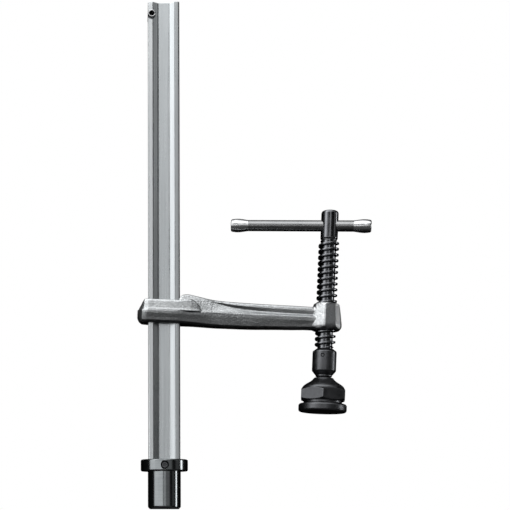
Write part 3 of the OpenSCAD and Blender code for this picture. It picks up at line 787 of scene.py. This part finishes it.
def build_spindle():
    tb, tt, ht = -25.4, 67.6, 92.8
    v, f = thread_mesh(6.3, 8.7, 5.0, tb, tt)
    ob = make("spindle_thread", v, f, Matrix.Rotation(math.radians(92), 4, "Z"), 40, THREAD)
    hr = 7.3
    prof = round_profile([(0, tt - 0.4), (6.6, tt - 0.4), (6.6, tt), (hr, tt + 1.2), (hr, ht - 2.0), (hr - 0.5, ht - 0.7), (hr - 1.9, ht), (0, ht)],
                         [0, 0, .2, .5, .9, .7, .8, 0], 5)
    v, f = lathe(prof, 128)
    head = make("h", v, f, None, 35, THREAD)
    bz = 80.0
    turn = Matrix.Translation((0, 0, bz * MM)) @ Matrix.Rotation(math.radians(90), 4, "Y")
    rb = 5.0
    v, f = lathe([(0, -20), (rb, -20), (rb, 20), (0, 20)], 96)
    boolean(head, tool("c", v, f, turn))
    bevel(head, 0.35, 3, 35)
    apply_all(head)
    pw, je, st = -32.4, -37.6, -25.95
    prof = round_profile([(0, je), (4.4, je), (5, je + .6), (5, pw - 1.45), (3.95, pw - 1.45), (3.95, pw + 1.45), (5, pw + 1.45),
                          (5, st + .1), (6.4, st + .1), (6.4, tb + .3), (0, tb + .3)], 0.15)
    v, f = lathe(prof, 128)
    jour = make("j", v, f, None, 35, THREAD)
    boolean(ob, head, "UNION")
    boolean(ob, jour, "UNION")
    seal(ob)
    ob.data.transform(TURNED)
    ob.data.materials.clear()
    ob.data.materials.append(THREAD)
    finish_mesh(ob, 36)
    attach(ob, "screw"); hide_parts("spindle")


def build_tommy():
    # the bar's middle comes from its box, the direction from the record
    lo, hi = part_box("tommy_bar")
    mid = (lo + hi) / 2
    place = Matrix.Translation(mid) @ TURNED.to_3x3().to_4x4() @ Matrix.Rotation(math.radians(90), 4, "Y")
    h, r, q, cl = 59.5, 4.75, 3.4, 15.0
    v, f = lathe(round_profile([(0, -h + 1.5), (q, -h + 1.5), (q, -h + cl), (r, -h + cl), (r, h - cl), (q, h - cl), (q, h - 1.5), (0, h - 1.5)],
                               [0, .2, .1, .25, .25, .1, .2, 0], 3), 128)
    make("tommy_bar_rod", v, f, place, 35, BAR, "tommy", ["tommy_bar"])
    cap = [(q, 0), (r, 0), (r + 0.15, 1.6), (r + 0.62, 4.4), (r + 0.98, 7.6), (r + 1.05, 9.4), (r + 0.92, 11.6), (r + 0.55, 14.2),
           (r - 0.1, cl), (0, cl), (0, cl - 1.4), (q, cl - 1.4)]
    rad = [0.1, .2, 2.0, 2.4, 2.0, 2.0, 2.4, 0.5, 0.5, 0, 0, .1]
    prof = round_profile(cap, rad, 5)
    prof = prof + [prof[0]]
    v, f = lathe(prof, 128)
    make("tommy_cap_short", v, f, place @ Matrix.Translation((0, 0, (h - cl) * MM)), 35, BRIGHT, "tommy", ["tommy_cap_short_end"])
    make("tommy_cap_long", v, f, place @ Matrix.Rotation(math.pi, 4, "X") @ Matrix.Translation((0, 0, (h - cl) * MM)), 35, BRIGHT, "tommy",
         ["tommy_cap_long_end"])


def smin(a, b, k):
    h = max(0.0, min(1.0, 0.5 + 0.5 * (b - a) / k))
    return b * (1 - h) + a * h - k * h * (1 - h)


def build_pad():
    af, bc, R = 36.5, -58.5, 8.04
    rc = af / 2 / math.cos(math.radians(30))
    m, ht, hb = -50.9, -60.2, -70.5
    outer = [(8.0, m), (8.35, m - .35), (8.8, m - 1.1), (9.6, m - 2.0), (10.6, m - 2.8), (11.9, m - 3.7), (13.7, m - 4.8), (15.7, m - 6.1),
             (17.2, m - 7.5), (18.1, ht), (rc + .3, ht - 1.9), (rc + .3, hb + 1.7), (17.6, hb)]
    # smooth the neck's curve and resample it
    out = [outer[0]]
    for a, b in zip(outer, outer[1:]):
        steps = max(1, int(math.hypot(b[0] - a[0], b[1] - a[1]) / 0.3))
        out += [(a[0] + (b[0] - a[0]) * s / steps, a[1] + (b[1] - a[1]) * s / steps) for s in range(1, steps + 1)]
    for _ in range(6):
        out = [out[0]] + [((p[0] + 2 * q[0] + r[0]) / 4, (p[1] + 2 * q[1] + r[1]) / 4) for p, q, r in zip(out, out[1:], out[2:])] + [out[-1]]
    inner = [(16.6, hb), (13.05, hb), (13.05, bc - 3.6), (10.4, bc - 3.6), (10.4, bc - 1.2), (R, bc - 1.2)]
    inner += [(R * math.cos(math.radians(a)), bc + R * math.sin(math.radians(a))) for a in range(0, 37, 4)]
    inner += [(7.6, m - 0.5), (7.7, m)]
    n = 288
    loop = [(r, z, True) for r, z in out] + [(r, z, False) for r, z in inner]
    verts, faces = [], []
    for r, z, hexed in loop:
        for i in range(n):
            a = 2 * math.pi * i / n
            if hexed:
                d = (a - math.radians(-9) + math.radians(30)) % (math.pi / 3) - math.pi / 6
                rr = min(r, smin(r, (af / 2) / math.cos(d), 0.45))
            else:
                rr = r
            verts.append((rr * math.cos(a), rr * math.sin(a), z))
    L = len(loop)
    for k in range(L):
        k2 = (k + 1) % L
        for i in range(n):
            j = (i + 1) % n
            faces.append((k * n + i, k2 * n + i, k2 * n + j, k * n + j))
    make("pad_socket_body", verts, faces, SCREW, 30, BLACK, "pad", ["pad_socket"])
    p = round_profile([(8.15, bc - 3.5), (10.3, bc - 3.5), (10.3, bc - 1.3), (8.15, bc - 1.3)], .25, 3, closed=True)
    v, f = lathe(p + [p[0]], 96)
    make("snap_ring", v, f, SCREW, 35, BRIGHT, "pad", ["ball_snap_ring"])
    F, db, dt = 20.25, -80.0, -73.0
    prof = round_profile([(0, db), (F - 1.4, db), (F - .5, db + .5), (F, db + 1.6), (F, dt - 1.5), (F - .4, dt - .6), (F - 1.2, dt), (16.9, dt),
                          (16.2, dt + .6), (16.2, hb), (13.0, hb), (13.0, bc - 3.65), (R * math.cos(math.asin(3.65 / R)), bc - 3.65)],
                         [0, .8, .7, .9, .8, .5, .5, .4, .4, .1, .1, .2, 0], 5)
    prof += [(R * math.cos(math.radians(a)), bc + R * math.sin(math.radians(a))) for a in range(-30, -90, -4)] + [(0, bc - R)]
    v, f = lathe(prof, 192)
    make("pressure_disc_body", v, f, SCREW, 32, BLACK, "pad", ["pressure_disc"])


def weigh_normals():
    """Flat faces shade flat beside their fillets."""
    for ob in list(bpy.context.scene.objects):
        if ob.type == "MESH" and ob.name in ("rail_bar", "table_adapter_body", "lock_screw", "stop_pin_roll", "swivel_sleeve_body", "swivel_pin", "thrust_washer",
                                           "spindle_thread", "tommy_bar_rod", "tommy_cap_short", "tommy_cap_long", "pad_socket_body", "snap_ring", "pressure_disc_body"):
            m = ob.modifiers.new("wn", "WEIGHTED_NORMAL")
            m.keep_sharp = True
            m.weight = 60


build_rail()
build_foot()
build_stop_pin()
build_arm()
build_swivel()
build_spindle()
build_tommy()
build_pad()
weigh_normals()

# ---------------------------------------------------------------- stage
FLOOR = Mat("pale_floor")
tone = FLOOR.noise(3, 3, 0.5)
FLOOR.set(FLOOR.mix(FLOOR.rng(tone, 0, 1), (0.80, 0.80, 0.80), (0.84, 0.84, 0.84)), 0.75, 0.0, spec=0.1)
v, f = extrude_loops([([(-3000, -3000), (3000, -3000), (3000, 3000), (-3000, 3000)], -130), ([(-3000, -3000), (3000, -3000), (3000, 3000), (-3000, 3000)], -125)])
floor = make("floor", v, f, None, 40, FLOOR.m)
floor.visible_glossy = False


CX, CY, CZ, YAW, PITCH, FPX, U0, V0 = -0.022795, -0.951856, -0.033554, -0.0154013, 0.0474328, 1122.271, 120.157, 457.744
fwd = Vector((math.sin(YAW) * math.cos(PITCH), math.cos(YAW) * math.cos(PITCH), math.sin(PITCH)))


def world():
    w = bpy.data.worlds.new("studio")
    bpy.context.scene.world = w
    w.use_nodes = True
    t = w.node_tree
    t.nodes.clear()

    def n(kind, **kw):
        node = t.nodes.new(kind)
        for a, b in kw.items():
            setattr(node, a, b)
        return node

    def m(op, a, b=0.0):
        x = n("ShaderNodeMath", operation=op)
        for s, val in ((x.inputs[0], a), (x.inputs[1], b)):
            if isinstance(val, bpy.types.NodeSocket):
                t.links.new(val, s)
            else:
                s.default_value = val
        return x.outputs[0]

    # the lamps stand round the camera, so a view from another side is lit as the first one is
    co = n("ShaderNodeTexCoord").outputs["Camera"]

    def along(row):
        d = n("ShaderNodeVectorMath", operation="DOT_PRODUCT")
        t.links.new(co, d.inputs[0])
        d.inputs[1].default_value = row
        return d.outputs["Value"]

    side = fwd.cross(Vector((0, 0, 1))).normalized()
    up = side.cross(fwd)
    x, y, z = (along((side[i], up[i], fwd[i])) for i in range(3))
    az = m("MULTIPLY", m("ARCTAN2", x, m("MULTIPLY", y, -1.0)), 57.29578)
    el = m("MULTIPLY", m("ARCSINE", z), 57.29578)

    def step(v, e0, e1):
        r = n("ShaderNodeMapRange", interpolation_type="SMOOTHSTEP")
        t.links.new(v, r.inputs[0])
        r.inputs[1].default_value, r.inputs[2].default_value = e0, e1
        return r.outputs[0]

    def window(v, a, b, soft):
        return m("MULTIPLY", step(v, a - soft, a + soft), m("SUBTRACT", 1.0, step(v, b - soft, b + soft)))

    def box(a0, a1, s, e0, e1, se, k):
        return m("MULTIPLY", m("MULTIPLY", window(az, a0, a1, s), window(el, e0, e1, se)), k)

    # key from the left, a front panel, low fill, strip at the right, light from above
    total = m("ADD", box(-75, -47, 4, -3, 60, 3, 2.1), box(-5, 8, 3, -4, 50, 4, 1.12))
    total = m("ADD", total, box(-47, -10, 5, -4, 5, 2, 2.1))
    total = m("ADD", total, box(-47, -32, 9, 5, 60, 3, 0.6))
    total = m("ADD", total, box(8, 36, 5, -3, 5, 2, 0.40))
    total = m("ADD", total, box(56, 72, 5, -3, 60, 4, 0.14))
    total = m("ADD", total, box(56, 72, 5, 12, 60, 6, 0.45))
    total = m("ADD", total, box(86, 96, 2, -12, 15, 4, 5.8))
    total = m("ADD", total, m("MULTIPLY", m("MULTIPLY", window(el, 24, 44, 12), window(az, -62, 2, 12)), 1.1))
    total = m("ADD", total, m("MULTIPLY", m("MULTIPLY", window(el, 40, 74, 9), window(az, -106, 48, 16)), 2.2))
    total = m("ADD", total, m("MULTIPLY", m("MULTIPLY", step(el, 66, 84), m("SUBTRACT", 1.0, m("MULTIPLY", step(az, -20, 40), 0.5))), 1.5))
    total = m("ADD", total, m("MULTIPLY", m("MULTIPLY", window(el, -26, -3, 5), window(az, -60, 50, 10)), 0.10))
    total = m("ADD", total, m("MULTIPLY", m("ADD", m("MULTIPLY", window(el, -65, -26, 12), 0.06), 0.010), window(az, -125, 125, 12)))
    total = m("ADD", total, 0.003)
    bg = n("ShaderNodeBackground")
    t.links.new(total, bg.inputs[0])
    white = n("ShaderNodeBackground")
    white.inputs[0].default_value = (1, 1, 1, 1)
    lp = n("ShaderNodeLightPath")
    mx = n("ShaderNodeMixShader")
    t.links.new(lp.outputs["Is Camera Ray"], mx.inputs[0])
    t.links.new(bg.outputs[0], mx.inputs[1])
    t.links.new(white.outputs[0], mx.inputs[2])
    t.links.new(mx.outputs[0], n("ShaderNodeOutputWorld").inputs[0])


world()

cam_data = bpy.data.cameras.new("cam")
cam = bpy.data.objects.new("cam", cam_data)
bpy.context.scene.collection.objects.link(cam)
cam.location = (CX, CY, CZ)
cam.rotation_mode = "QUATERNION"
cam.rotation_quaternion = fwd.to_track_quat("-Z", "Y")
cam_data.sensor_width = 36.0
cam_data.lens = FPX / 510 * 36
for path, val in (("shift_x", (255 - U0) / 510), ("shift_y", (V0 - 255) / 510)):
    # the lens shift belongs to the first standpoint; from any other the part is centred
    setattr(cam_data, path, val)
    drv = cam_data.driver_add(path).driver
    drv.type = "SCRIPTED"
    for k, name in enumerate(("px", "py", "pz")):
        var = drv.variables.new()
        var.name = name
        var.targets[0].id = cam
        var.targets[0].data_path = "location[%d]" % k
    drv.expression = "%.6f if abs(px - %.6f) + abs(py - %.6f) + abs(pz - %.6f) < 0.001 else 0.0" % (val, CX, CY, CZ)
cam_data.clip_start, cam_data.clip_end = 0.05, 20
bpy.context.scene.camera = cam
bpy.context.scene.view_settings.view_transform = "Standard"
